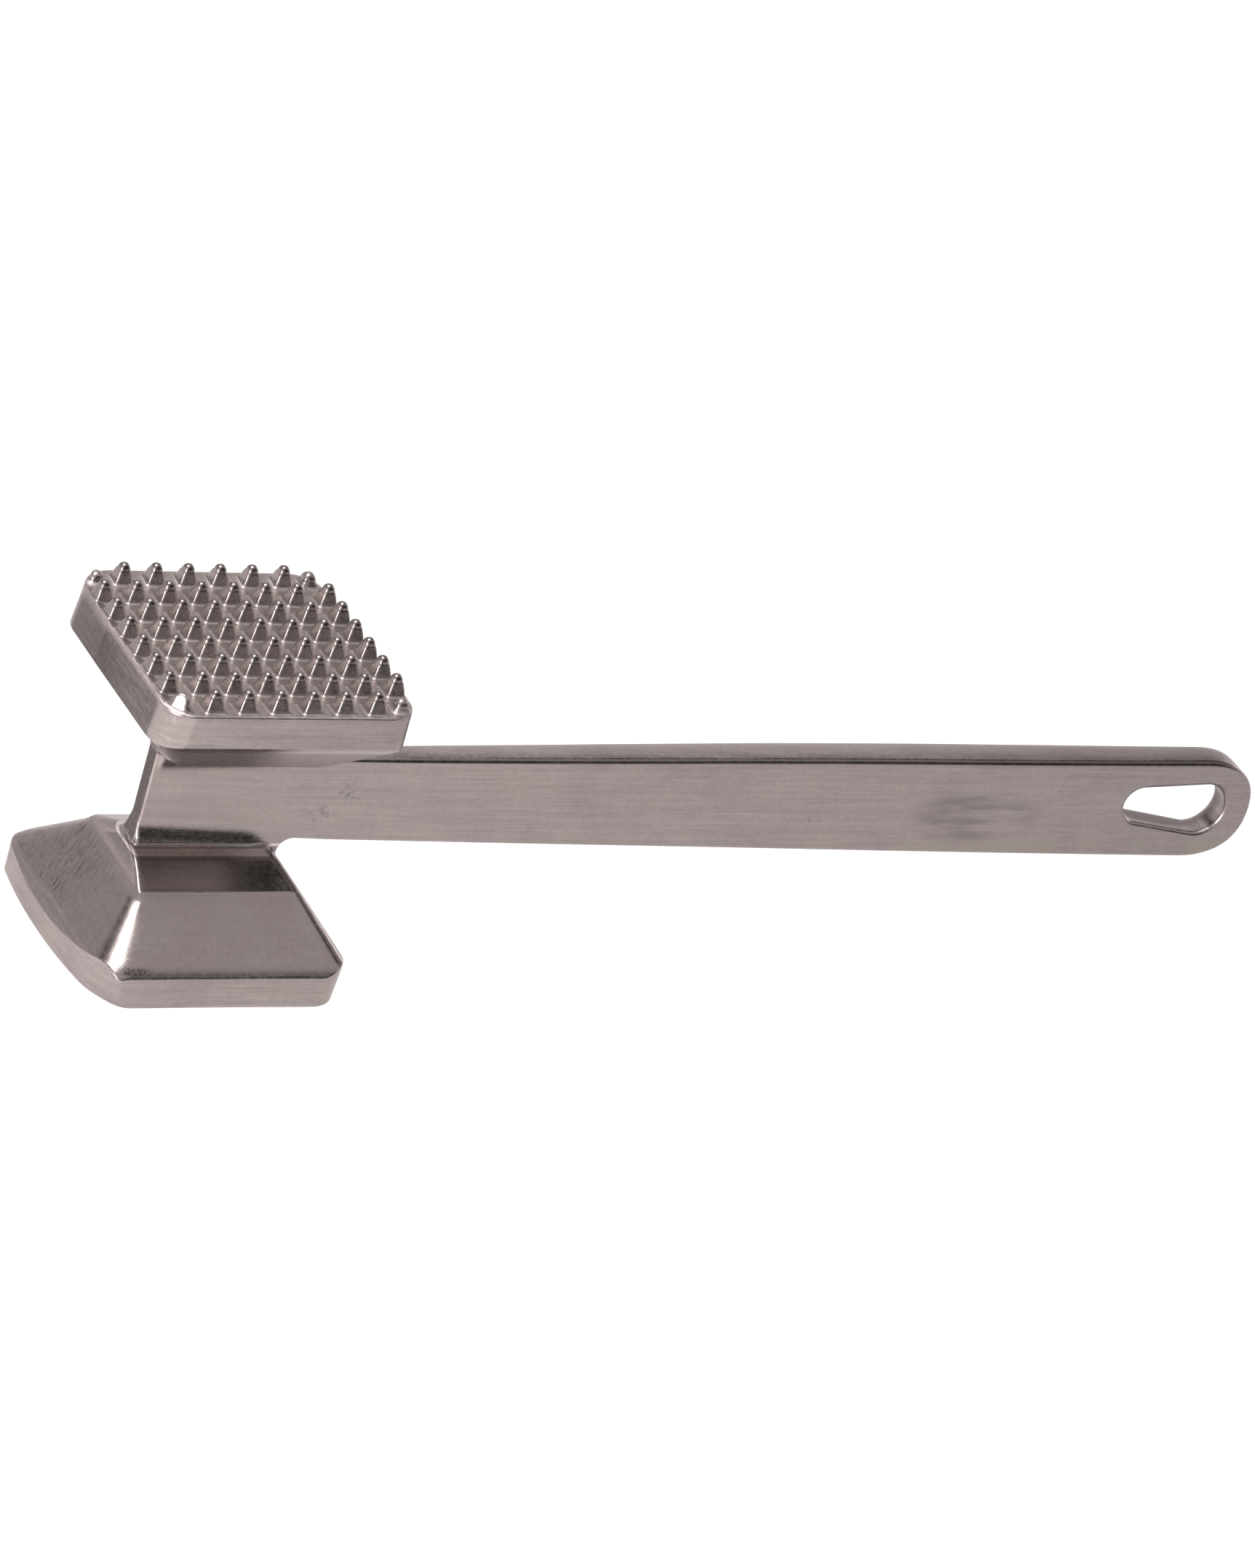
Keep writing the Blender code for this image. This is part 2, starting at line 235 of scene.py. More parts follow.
def bar(x, y, z):
    """Grip and web in one: a tapering flat bar with crowned edges."""
    thick = np.polyval(THICKNESS, np.clip(x, -17.0, STATIONS[-1, 0]) / 100.0)
    sag = 0.0036 * (np.hypot(x - 135.0, 20.0) + (x - 135.0))
    hump = 0.2 * np.exp(-((x - 170.0) / 60.0) ** 2)
    w = np.abs(z - (GRIP_Z + 0.15 - sag + hump))
    half = START_HALF + WIDENING * (x - GRIP_START) / TAPER_LENGTH + hump
    u = np.maximum(x - END_X, 0.0) / END_LENGTH
    end = END_HALF * ((u ** 2.3 + (w / END_HALF) ** 2.3) ** (1 / 2.3) - 1.0)
    grip = np.where(x < END_X, w - half, end)
    bulge = 1.0 - (y / thick) ** 2
    crown = 0.70 * bulge - 0.028 * np.maximum(y, 0.0) ** 2
    grip = grip - crown * smooth_step(18.0, 34.0, x) * (1 - smooth_step(272.0, 284.0, x))
    edge = round_min(grip, x - WEB_EDGE, radius=4.2)
    near_radius = 1.05 - 0.55 * smooth_step(276.0, 284.0, x)
    body = round_max(edge, -y - thick, near_radius)
    body = round_max(body, y - thick, radius=1.8)
    body = soft_max(body, -x + WEB_TOE, band=0.55)
    # the web ends inside the two heads; this limit dies out along the grip
    body = np.maximum(body, np.maximum(20.0 - z, z - 58.0) * smooth_step(60, 30, x)
                      - 30.0 * smooth_step(30, 60, x))
    inner = -hole(x, z) - 0.30 * bulge
    return np.where(y < 0, round_max(body, inner, radius=1.0),
                    round_max(body, inner, radius=4.0))


def foot(x, y, z, toe_x, heel_x, band, lowest):
    """Scooped foot of the web: a wedge on both faces that dies out at heel_x."""
    wedge = plane(np.abs(y), z, (0.829, 0.559), (4.95, 26.9))
    wedge = soft_max(wedge, plane(x, z, (-0.975, 0.222), (toe_x, 27.5)), band=0.8)
    wedge = soft_max(wedge, plane(x, z, (0.6, 0.10), (heel_x, 26.9)), band)
    return np.maximum(wedge, np.maximum(z - 36.0, lowest - z))


def solid(x, y, z):
    """The whole mallet."""
    middle = bar(x, y, z)
    middle = soft_min(middle, foot(x, y, z, toe_x=-17.4, heel_x=18.3, band=5.0,
                                   lowest=19.0), band=1.6)
    middle = soft_min(middle, foot(x, y, HEAD_TOP - z, toe_x=-15.5, heel_x=24.0,
                                   band=3.0, lowest=16.5), band=1.6)
    heads = np.minimum(lower_head(x, y, z), upper_head(x, y, z))
    whole = soft_min(heads, middle, band=0.55)
    return whole + 0.05 * ripple(x, y, z, size=2.3) + 0.012 * ripple(x, y, z, size=0.5)


def solid_at(points):
    return solid(*points.T)


def gradient(points, reach=0.02):
    x, y, z = points.T
    return np.stack((solid(x + reach, y, z) - solid(x - reach, y, z),
                     solid(x, y + reach, z) - solid(x, y - reach, z),
                     solid(x, y, z + reach) - solid(x, y, z - reach)), -1) / (2 * reach)


def normals_at(points):
    g = gradient(points)
    return g / np.maximum(np.linalg.norm(g, axis=-1, keepdims=True), 1e-9)


# -------------------------------------------------------------------- meshing
PULL = 0.06                # pull of a vertex towards the mean of its crossings
BEND_REACH = 0.35          # mm, distance over which bending is measured


def lines(*spans):
    """Grid lines from (start, stop, spacing) spans laid end to end."""
    out = [spans[0][0]]
    for start, stop, spacing in spans:
        count = max(1, int(round((stop - start) / spacing)))
        out.extend(start + (stop - start) * (i + 1) / count for i in range(count))
    return np.array(out)


def grid_points(grid, index):
    return np.stack([grid[axis][index[:, axis]] for axis in range(3)], -1)


def crossings(grid, field, inside, axis):
    """Where grid edges along an axis cross the surface: the points, their
    normals, and the four cells round each edge in face order."""
    index = np.argwhere(np.diff(inside, axis=axis))
    others = [other for other in range(3) if other != axis]
    for other in others:
        column = index[:, other]
        index = index[(column > 0) & (column < field.shape[other] - 1)]
    after = index.copy()
    after[:, axis] += 1
    start, stop = grid_points(grid, index), grid_points(grid, after)
    f_start, f_stop = field[tuple(index.T)], field[tuple(after.T)]

    # an edge that is solid at both ends crosses a cut, halfway along
    capped = (f_start < 0) & (f_stop < 0)
    low, high = np.zeros(len(index)), np.ones(len(index))
    t = np.where(capped, 0.5, f_start / np.where(capped, 1, f_start - f_stop))
    for _ in range(8):
        f = solid_at(start + (stop - start) * t[:, None])
        same = (f < 0) == (f_start < 0)
        low = np.where(same, t, low)
        high = np.where(same, high, t)
        t = np.where(capped, 0.5, 0.5 * (low + high))
    points = start + (stop - start) * t[:, None]
    normals = normals_at(points)
    normals[capped] = (0, 0, 1)

    around = []
    for steps in ((-1, -1), (0, -1), (0, 0), (-1, 0)):
        cell = index.copy()
        cell[:, others] += steps
        around.append(np.ravel_multi_index(tuple(cell.T), np.array(field.shape) - 1))
    around = np.stack(around, -1)
    forward = inside[tuple(index.T)] != (axis == 1)
    return points, normals, np.where(forward[:, None], around, around[:, ::-1])


def fit_vertices(points, normals, quads, count):
    """Per cell, the point that best meets the tangent planes of its crossings."""
    matrix = np.zeros((count, 3, 3))
    target = np.zeros((count, 3))
    mean = np.zeros((count, 3))
    hits = np.zeros(count)
    outer = normals[:, :, None] * normals[:, None, :]
    dots = (normals * points).sum(1)
    for corner in range(4):
        np.add.at(matrix, quads[:, corner], outer)
        np.add.at(target, quads[:, corner], normals * dots[:, None])
        np.add.at(mean, quads[:, corner], points)
        np.add.at(hits, quads[:, corner], 1.0)
    mean /= hits[:, None]
    matrix += PULL * np.eye(3)
    return np.linalg.solve(matrix, (target + PULL * mean)[:, :, None])[:, :, 0]


def settle_on_outline(verts, rim):
    """Slide rim vertices level until they lie on the surface."""
    for _ in range(4):
        f, g = solid_at(verts[rim]), gradient(verts[rim])
        move = -f / np.maximum(g[:, 0] ** 2 + g[:, 1] ** 2, 0.05)
        for axis in (0, 1):
            verts[rim, axis] += np.clip(move * g[:, axis], -0.5, 0.5)


def outlines(quads, count):
    """Closed loops of vertices round a patch of quads."""
    edges = np.concatenate([quads[:, [i, (i + 1) % 4]] for i in range(4)])
    code = edges[:, 0] * count + edges[:, 1]
    reverse = edges[:, 1] * count + edges[:, 0]
    follow = {}
    for start, stop in edges[~np.isin(code, reverse)].tolist():
        follow.setdefault(start, []).append(stop)

    def leave(vertex):
        following = follow[vertex].pop()
        if not follow[vertex]:
            del follow[vertex]
        return following

    loops = []
    while follow:
        start = min(follow)
        loop, here = [start], leave(start)
        while here != start and here in follow:
            loop.append(here)
            here = leave(here)
        if len(loop) > 2:
            loops.append(loop)
    return loops


def shading_normals(verts, faces, sharp):
    """One normal to a vertex, but one to a corner where a crease passes."""
    centre = verts[faces].mean(1)
    inset = verts[faces] + 0.30 * (centre[:, None, :] - verts[faces])
    own = normals_at(inset.reshape(-1, 3)).reshape(-1, 4, 3)
    shared = normals_at(verts)[faces]
    close = (own * shared).sum(-1) > sharp
    return np.where(close[..., None], shared, own).reshape(-1, 3)


def bending(verts):
    """Curvature of the surface: positive on edges, negative in hollows."""
    total = -6.0 * solid_at(verts)
    for direction in np.eye(3):
        for reach in (BEND_REACH, -BEND_REACH):
            total = total + solid_at(verts + reach * direction)
    return total / BEND_REACH ** 2


def build_object(name, verts, faces, caps, material, sharp):
    """Object from quads and flat caps, each cap a (vertex loop, -1 or 1) pair."""
    sizes = np.array([4] * len(faces) + [len(loop) for loop, _ in caps])
    corners = np.concatenate([faces.ravel()] + [loop for loop, _ in caps])
    normals = np.concatenate([shading_normals(verts, faces, sharp)]
                             + [np.tile((0.0, 0.0, float(side)), (len(loop), 1))
                                for loop, side in caps])
    mesh = bpy.data.meshes.new(name)
    mesh.vertices.add(len(verts))
    mesh.vertices.foreach_set("co", (verts / 1000.0).astype(np.float32).ravel())
    mesh.loops.add(len(corners))
    mesh.loops.foreach_set("vertex_index", corners.astype(np.int32))
    mesh.polygons.add(len(sizes))
    mesh.polygons.foreach_set("loop_start", (np.cumsum(sizes) - sizes).astype(np.int32))
    mesh.polygons.foreach_set("loop_total", sizes.astype(np.int32))
    mesh.update(calc_edges=True)
    mesh.validate(clean_customdata=False)
    # validate may drop faulty elements, and then these lists no longer match
    bend = mesh.attributes.new("bend", "FLOAT", "POINT")
    if len(mesh.vertices) == len(verts):
        bend.data.foreach_set("value", bending(verts).astype(np.float32))
    mesh.shade_smooth()
    if len(mesh.loops) == len(corners):
        mesh.normals_split_custom_set(normals.tolist())
    mesh.materials.append(material)
    obj = bpy.data.objects.new(name, mesh)
    bpy.context.scene.collection.objects.link(obj)
    return obj


def mesh_piece(name, grid, material, bottom=-np.inf, top=np.inf, cut_reach=np.inf,
               sharp=0.965):
    """Closed mesh of the solid between two level cuts, which act where x is
    below cut_reach. Each cut runs through the middle of a thin layer of
    cells. Creases are kept where normals' cosine is below sharp."""
    X, Y, Z = np.meshgrid(*grid, indexing="ij")
    field = solid(X, Y, Z)
    inside = (field < 0) & ~(((Z < bottom) | (Z > top)) & (X < cut_reach))
    points, normals, quads = (np.concatenate(parts) for parts in zip(
        *(crossings(grid, field, inside, axis) for axis in range(3))))
    used, inverse = np.unique(quads.ravel(), return_inverse=True)
    quads = inverse.reshape(quads.shape)
    count = len(used)
    cells = np.array(np.unravel_index(used, np.array(field.shape) - 1)).T
    low, high = grid_points(grid, cells), grid_points(grid, cells + 1)
    verts = np.clip(fit_vertices(points, normals, quads, count), low, high)

    # vertices on a cut lie exactly in its plane and on the outline there
    touches_air = np.zeros(count, bool)
    for step in np.ndindex(2, 2, 2):
        touches_air |= field[tuple((cells + step).T)] >= 0
    on_cut = np.zeros(count, int)
    for side, cut in ((-1, bottom), (1, top)):
        hit = (low[:, 2] < cut) & (high[:, 2] > cut) & (low[:, 0] < cut_reach)
        on_cut[hit] = side
        verts[hit, 2] = cut
        settle_on_outline(verts, hit & touches_air)

    # one flat face for each cut outline instead of its grid
    cap_side = np.zeros(len(quads), int)
    for side in (-1, 1):
        cap_side[(on_cut[quads] == side).all(1)] = side
    faces = quads[cap_side == 0]
    caps = [(loop, side) for side in (-1, 1)
            for loop in outlines(quads[cap_side == side], count)]

    keep = np.zeros(count, bool)
    keep[faces.ravel()] = True
    for loop, _ in caps:
        keep[loop] = True
    renumber = np.cumsum(keep) - 1
    caps = [(renumber[np.array(loop)], side) for loop, side in caps]
    return build_object(name, verts[keep], renumber[faces], caps, material, sharp)


# ------------------------------------------------------------------ materials
TINT = (0.386, 0.351, 0.348)
LIGHT = (1.05, 0.952, 0.943, 1.0)


def tinted(red, green, blue):
    """The metal's tint with its channels scaled."""
    return (TINT[0] * red, TINT[1] * green, TINT[2] * blue, 1.0)


class Nodes:
    """Short hand for wiring the shader nodes of a material or world."""

    def __init__(self, owner):
        owner.use_nodes = True
        self.tree = owner.node_tree
        self.tree.nodes.clear()

    def add(self, kind, **props):
        node = self.tree.nodes.new(kind)
        for key, value in props.items():
            setattr(node, key, value)
        return node

    def put(self, socket, value):
        if isinstance(value, bpy.types.NodeSocket):
            self.tree.links.new(value, socket)
        elif value is not None:
            socket.default_value = value

    def math(self, op, a, b=None, clamp=False):
        node = self.add("ShaderNodeMath", operation=op, use_clamp=clamp)
        self.put(node.inputs[0], a)
        self.put(node.inputs[1], b)
        return node.outputs[0]

    def product(self, first, *others):
        for other in others:
            first = self.math("MULTIPLY", first, other)
        return first

    def vmath(self, op, a, b=None, out="Vector"):
        node = self.add("ShaderNodeVectorMath", operation=op)
        self.put(node.inputs[0], a)
        self.put(node.inputs[1], b)
        return node.outputs[out]

    def dot(self, a, b):
        return self.vmath("DOT_PRODUCT", a, b, out="Value")

    def length(self, vector):
        return self.vmath("LENGTH", vector, out="Value")

    def place(self, scale):
        """Object coordinates, scaled from metres."""
        return self.vmath("MULTIPLY", self.add("ShaderNodeTexCoord").outputs["Object"],
                          scale)

    def split(self, vector):
        node = self.add("ShaderNodeSeparateXYZ")
        self.put(node.inputs[0], vector)
        return node.outputs

    def ramp(self, value, over, to=(0.0, 1.0), kind="SMOOTHSTEP"):
        node = self.add("ShaderNodeMapRange", interpolation_type=kind)
        for socket, setting in zip(node.inputs, (value, *over, *to)):
            self.put(socket, setting)
        return node.outputs[0]

    def zone(self, *limits):
        """Mask from (value, outside, inside) limits: each fades from 0 to 1
        between its two bounds, and all are multiplied together."""
        return self.product(*[self.ramp(value, over=(outside, inside))
                              for value, outside, inside in limits])

    def noise(self, vector, detail, scale=1.0, rough=0.5):
        node = self.add("ShaderNodeTexNoise")
        self.put(node.inputs["Vector"], vector)
        node.inputs["Scale"].default_value = scale
        node.inputs["Detail"].default_value = detail
        node.inputs["Roughness"].default_value = rough
        return node.outputs["Fac"]

    def mix(self, fac, a, b, blend="MIX"):
        node = self.add("ShaderNodeMix", data_type="RGBA", blend_type=blend)
        self.put(node.inputs[0], fac)
        self.put(node.inputs[6], a)
        self.put(node.inputs[7], b)
        return node.outputs[2]


class Metal(Nodes):
    """Aluminium under way: its patterns, and its shade and colour so far."""

    def __init__(self, name):
        self.material = bpy.data.materials.new(name)
        super().__init__(self.material)
        self.mm = self.place(scale=(1000.0, 1000.0, 1000.0))
        self.x, self.y, self.z = self.split(self.mm)
        self.bend = self.add("ShaderNodeAttribute", attribute_name="bend").outputs["Fac"]
        # long streaks run level: slow along X and Y, quick in Z
        self.fine = self.noise(self.stretch((0.05, 0.10, 3.6)), detail=4.0, rough=0.65)
        self.cast = self.noise(self.mm, scale=0.75, detail=4.0, rough=0.6)
        self.patch = self.noise(self.mm, scale=0.075, detail=3.0)
        self.relief = []         # further (pattern, depth) pairs of the bump
        self.roughening = []     # further roughness

    def stretch(self, frequency):
        return self.vmath("MULTIPLY", self.mm, frequency)

    def near(self, centre, size, soft=0.5):
        """Soft spot: 0 outside an ellipsoid, 1 inside its soft fraction."""
        gap = self.vmath("DIVIDE", self.vmath("SUBTRACT", self.mm, centre), size)
        return self.ramp(self.length(gap), over=(1.0, soft))

    def tone(self, value, over, to):
        """Multiply the shade by a ramp."""
        self.shade = self.product(self.shade, self.ramp(value, over, to))

    def less(self, mask, amount):
        return self.math("SUBTRACT", 1.0, self.product(mask, amount))

    def darken(self, mask, amount):
        self.shade = self.product(self.shade, self.less(mask, amount))

    def lighten(self, mask, amount):
        self.shade = self.product(self.shade,
                                  self.math("ADD", 1.0, self.product(mask, amount)))

    def blend_colour(self, mask, amount, colour):
        self.colour = self.mix(self.product(mask, amount), self.colour, colour)

    def times_grey(self, colour, value):
        grey = self.add("ShaderNodeCombineColor")
        for socket in list(grey.inputs)[:3]:
            self.put(socket, value)
        return self.mix(1.0, colour, grey.outputs[0], blend="MULTIPLY")


def mark_studded_face(m, level):
    """Mottled floor, pits, painted shade on the tips and a painted highlight on the toe
    rim; level is 1 below the stud field.
    """
    top = m.math("SUBTRACT", 1.0, level)
    grain = m.noise(m.mm, scale=2.6, detail=3.0, rough=0.6)
    mottle = m.product(m.ramp(grain, over=(0.28, 0.72), to=(-0.12, 0.12)),
                       m.zone((m.z, 80.0, 78.8)))
    m.lighten(mottle, top)
    # small pits at the same place beside every stud
    floor_only = m.product(m.zone((m.z, 79.3, 79.0)), top)
    pit_x = m.math("SUBTRACT", m.math("FLOORED_MODULO", m.x, PITCH), 1.425)
    pit_y = m.math("SUBTRACT", m.math("FLOORED_MODULO", m.y, PITCH), 1.275)
    away = m.math("SQRT", m.math("ADD", m.product(pit_x, pit_x), m.product(pit_y, pit_y)))
    m.darken(m.product(m.zone((away, 0.42, 0.22)), floor_only), amount=0.45)
    # painted shade over the tips' highlight, a slightly darker and rougher floor, and a
    # painted highlight along the toe rim
    m.tone(m.z, over=(82.2, 83.1), to=(1.0, 0.60))
    m.tone(m.z, over=(79.5, 79.0), to=(1.0, 0.95))
    m.lighten(m.zone((m.x, -30.9, -31.7), (m.z, 77.7, 78.3)), amount=0.22)
    m.roughening.append(m.product(m.zone((m.z, 79.4, 79.0)), top, 0.16))
    m.relief.append((grain, m.ramp(m.z, over=(80.0, 78.8), to=(0.0, 0.015))))


def mark_lower_flare(m):
    """Painted shade on the roof, painted light on the ledge and the toe's gable, noisy
    dark patches, and coarse grinding on the toe.
    """
    # painted shade on the roof, which sees the dark underside of the upper head in
    # reflection
    m.darken(m.zone((m.z, 21.9, 22.3), (m.z, 26.25, 26.05), (m.x, -19.5, -18.5)),
             amount=0.13)
    # painted light: the ledge is made about twice as bright
    m.tone(m.z, over=(26.12, 26.22), to=(1.0, 2.05))
    # painted light on the toe's gable face
    m.lighten(m.zone((m.z, 22.0, 22.6), (m.x, -17.6, -18.4)), amount=0.25)
    # noisy dark patches at the near toe corner and where the heel meets the web
    blotch = m.zone((m.noise(m.mm, scale=0.9, detail=3.0), 0.62, 0.40))
    for centre, size in (((-24.0, -31.5, 9.3), (5.5, 2.8, 1.1)),
                         ((20.5, -9.0, 25.2), (4.0, 8.0, 1.9))):
        m.darken(m.product(m.near(centre, size, soft=0.35), blotch), amount=0.62)
    # the grinding runs up the slope and a little across
    turned = m.add("ShaderNodeCombineXYZ")
    m.put(turned.inputs[0], m.dot(m.mm, (0.116, 0.085, 0.139)))
    m.put(turned.inputs[1], m.dot(m.mm, (-0.96, 3.17, -1.14)))
    grind = m.noise(turned.outputs[0], detail=4.0, rough=0.7)
    region = m.zone((m.patch, 0.28, 0.50), (m.y, -14.0, 8.0), (m.x, -19.0, -22.0))
    m.darken(m.product(m.zone((grind, 0.50, 0.36)), region), amount=0.75)
    m.relief.append((grind, m.ramp(m.x, over=(-17.0, -21.0), to=(0.0, 0.03))))


def stain_and_shade_grip(m):
    """Stains, painted shade along the near upper edge, in the hanging hole and towards the
    top's end, and a tan cast on the grip.
    """
    dim = tinted(0.62, 0.63, 0.65)
    fleck = m.zone((m.noise(m.stretch((0.06, 0.06, 0.35)), detail=3.0), 0.32, 0.62))
    spot = m.near(centre=(207.0, -5.0, 36.0), size=(22.0, 30.0, 9.0))
    m.blend_colour(m.product(spot, fleck), 0.80, dim)
    nick = m.zone((m.noise(m.mm, scale=0.8, detail=3.0), 0.47, 0.35))
    for centre, size in (((35.5, -3.7, 41.5), (5.5, 9.0, 4.5)),
                         ((29.0, -3.6, 35.0), (5.0, 9.0, 3.5)),
                         ((160.0, -5.0, 35.0), (3.0, 9.0, 2.0)),
                         ((231.0, -5.0, 43.0), (4.0, 9.0, 2.5))):
        m.blend_colour(m.product(m.near(centre, size, soft=0.2), nick), 0.8, dim)
    # painted shade along the whole near upper edge
    edge = m.zone((m.bend, 0.35, 1.1), (m.z, 40.0, 44.0), (m.y, -1.0, -2.5),
                  (m.x, 34.0, 50.0), (m.x, 282.0, 274.0))
    m.blend_colour(edge, 0.75, tinted(0.35, 0.35, 0.36))
    # painted shade on the wall inside the hanging hole
    hollow = m.near(centre=(263.5, 0.4, 38.2), size=(19.5, 4.9, 10.5), soft=0.72)
    m.blend_colour(hollow, 0.90, tinted(0.40, 0.40, 0.40))
    # painted shade: the top edge is darker towards the grip's end
    top_end = m.zone((m.x, 110.0, 270.0), (m.z, 50.0, 51.5))
    m.colour = m.times_grey(m.colour, m.less(top_end, 0.30))
    # a tan cast along the grip's lower edge
    rim = m.product(m.zone((m.z, 31.0, 26.5)),
                    m.ramp(m.x, over=(150.0, 250.0), to=(0.25, 1.0)),
                    m.zone((m.patch, 0.35, 0.6)))
    m.blend_colour(rim, 0.8, tinted(0.98, 1.03, 0.90))


def aluminium(name, rough, streak, pits=0.0, dim=0.0, studded=False, ground_with_painted_light=False,
              stained_and_shaded=False):
    """Ground and tumbled cast aluminium. streak is the strength of the level
    brushing and pits that of the pitting; the strength after pits is that of
    the painted shade over the toe's far end."""
    m = Metal(name)
    if studded:
        level = m.zone((m.z, 78.7, 78.0))
        swing = m.product(m.math("SUBTRACT", m.fine, 0.5), level)
        m.fine = m.math("ADD", swing, 0.5)
    broad = m.noise(m.stretch((0.012, 0.05, 0.55)), detail=3.0, rough=0.6)
    m.shade = m.ramp(m.patch, over=(0.3, 0.7), to=(0.95, 1.04))
    m.tone(m.fine, over=(0.25, 0.75), to=(1 - 0.15 * streak, 1 + 0.13 * streak))
    m.tone(broad, over=(0.3, 0.7), to=(1 - 0.06 * streak, 1 + 0.05 * streak))
    m.tone(m.cast, over=(0.3, 0.7), to=(0.95, 1.05))
    if studded:
        mark_studded_face(m, level)
    # painted shade: the far end of the toe side is darker
    if dim:
        m.darken(m.zone((m.x, -18.0, -27.0), (m.y, -14.0, 12.0), (m.z, 78.0, 76.0)), dim)
    # painted highlight on convex edges, which are lighter, and painted shade in hollows,
    # which are darker
    m.tone(m.bend, over=(0.5, 2.5), to=(1.0, 1.18))
    m.tone(m.bend, over=(-0.4, -1.8), to=(1.0, 0.62))
    if ground_with_painted_light:
        mark_lower_flare(m)
    if pits:
        speck = m.noise(m.mm, scale=1.3, detail=2.0)
        m.darken(m.zone((speck, 0.30, 0.22), (m.patch, 0.50, 0.62)), 0.45 * pits)
    warm = m.mix(m.zone((m.patch, 0.35, 0.65)), (*TINT, 1.0), tinted(0.985, 1.0, 0.98))
    m.colour = m.times_grey(warm, m.shade)
    if stained_and_shaded:
        stain_and_shade_grip(m)

    roughness = m.ramp(m.fine, over=(0.2, 0.8),
                       to=(rough - 0.05 * streak, rough + 0.07 * streak))
    cast_rough = m.ramp(m.cast, over=(0.3, 0.7), to=(-0.03, 0.04))
    for extra in (cast_rough, *m.roughening):
        roughness = m.math("ADD", roughness, extra)
    height = m.product(m.fine, 0.010 * streak)
    for pattern, depth in ((m.cast, 0.026), *m.relief):
        height = m.math("ADD", height, m.product(pattern, depth))
    bump = m.add("ShaderNodeBump")
    shader = m.add("ShaderNodeBsdfPrincipled")
    out = m.add("ShaderNodeOutputMaterial")
    for socket, value in ((bump.inputs["Strength"], 1.0),
                          (bump.inputs["Distance"], 0.001),
                          (bump.inputs["Height"], height),
                          (shader.inputs["Base Color"], m.colour),
                          (shader.inputs["Metallic"], 1.0),
                          (shader.inputs["Roughness"], roughness),
                          (shader.inputs["Normal"], bump.outputs[0]),
                          (out.inputs["Surface"], shader.outputs[0])):
        m.put(socket, value)
    return m.material


grip_mat = aluminium("handle_metal", rough=0.25, streak=0.7, pits=0.8, stained_and_shaded=True)
upper_flare_mat = aluminium("upper_flare_metal", rough=0.23, streak=0.35, dim=0.34)
stud_mat = aluminium("studded_plate_metal", rough=0.25, streak=1.0, pits=0.4,
                     dim=0.34, studded=True)
lower_flare_mat = aluminium("lower_flare_metal", rough=0.22, streak=0.30, ground_with_painted_light=True)
face_mat = aluminium("smooth_plate_metal", rough=0.27, streak=1.0, pits=0.3)

# --------------------------------------------------------------------- pieces
FINE = 0.36
MEDIUM = 0.62
COARSE = 1.6
STUD_STEP = PITCH / 26
STUD_STEP_Z = 0.3
FIELD_HALF = 4 * PITCH
LAYER_HALF = 0.12          # half height of the cell layer round a cut
# heights of the cuts: plate to flare and flare to web, in each head
LOWER_PLATE_CUT, LOWER_WEB_CUT = 8.75, 26.75
UPPER_WEB_CUT, UPPER_PLATE_CUT = HEAD_TOP - LOWER_WEB_CUT, HEAD_TOP - LOWER_PLATE_CUT


def below(cut):
    return cut - LAYER_HALF


def above(cut):
    return cut + LAYER_HALF


def layer(cut):
    return (below(cut), above(cut), 2 * LAYER_HALF)


FLARE_XS = lines((-34.6, -14.0, FINE), (-14.0, 14.0, MEDIUM), (14.0, 33.6, FINE))
FLARE_YS = lines((-33.4, -29.0, FINE), (-29.0, -19.0, MEDIUM), (-19.0, -16.0, FINE),
                 (-16.0, -9.0, MEDIUM), (-9.0, 9.0, FINE), (9.0, 16.0, MEDIUM),
                 (16.0, 19.0, FINE), (19.0, 29.0, MEDIUM), (29.0, 33.4, FINE))

smooth_plate = mesh_piece(
    "smooth_face_plate_body",
    (lines((-34.6, -12.0, FINE), (-12.0, 14.0, COARSE), (14.0, 33.6, FINE)),
     lines((-33.4, -16.0, FINE), (-16.0, 16.0, COARSE), (16.0, 33.4, FINE)),
     lines((-0.6, 1.2, 0.2), (1.2, 5.4, 0.7), (5.4, below(LOWER_PLATE_CUT), 0.28),
           layer(LOWER_PLATE_CUT))),
    face_mat, top=LOWER_PLATE_CUT)
lower_flare = mesh_piece(
    "lower_head_flare_body",
    (FLARE_XS, FLARE_YS,
     lines(layer(LOWER_PLATE_CUT), (above(LOWER_PLATE_CUT), 10.5, 0.3),
           (10.5, 21.0, MEDIUM), (21.0, below(LOWER_WEB_CUT), 0.3),
           layer(LOWER_WEB_CUT))),
    lower_flare_mat, bottom=LOWER_PLATE_CUT, top=LOWER_WEB_CUT)
upper_flare = mesh_piece(
    "upper_head_flare_body",
    (FLARE_XS, FLARE_YS,
     lines(layer(UPPER_WEB_CUT), (above(UPPER_WEB_CUT), 57.0, 0.3),
           (57.0, 68.0, MEDIUM), (68.0, below(UPPER_PLATE_CUT), 0.3),
           layer(UPPER_PLATE_CUT))),
    upper_flare_mat, bottom=UPPER_WEB_CUT, top=UPPER_PLATE_CUT)
stud_plate = mesh_piece(
    "studded_face_plate_body",
    (lines((-34.0, -FIELD_HALF, 0.25), (-FIELD_HALF, FIELD_HALF, STUD_STEP),
           (FIELD_HALF, 33.5, 0.25)),
     lines((-33.5, -FIELD_HALF, 0.25), (-FIELD_HALF, FIELD_HALF, STUD_STEP),
           (FIELD_HALF, 33.5, 0.25)),
     lines(layer(UPPER_PLATE_CUT), (above(UPPER_PLATE_CUT), 70.4, 0.25),
           (70.4, 77.4, 1.0), (77.4, 84.0, STUD_STEP_Z))),
    stud_mat, bottom=UPPER_PLATE_CUT, sharp=0.82)
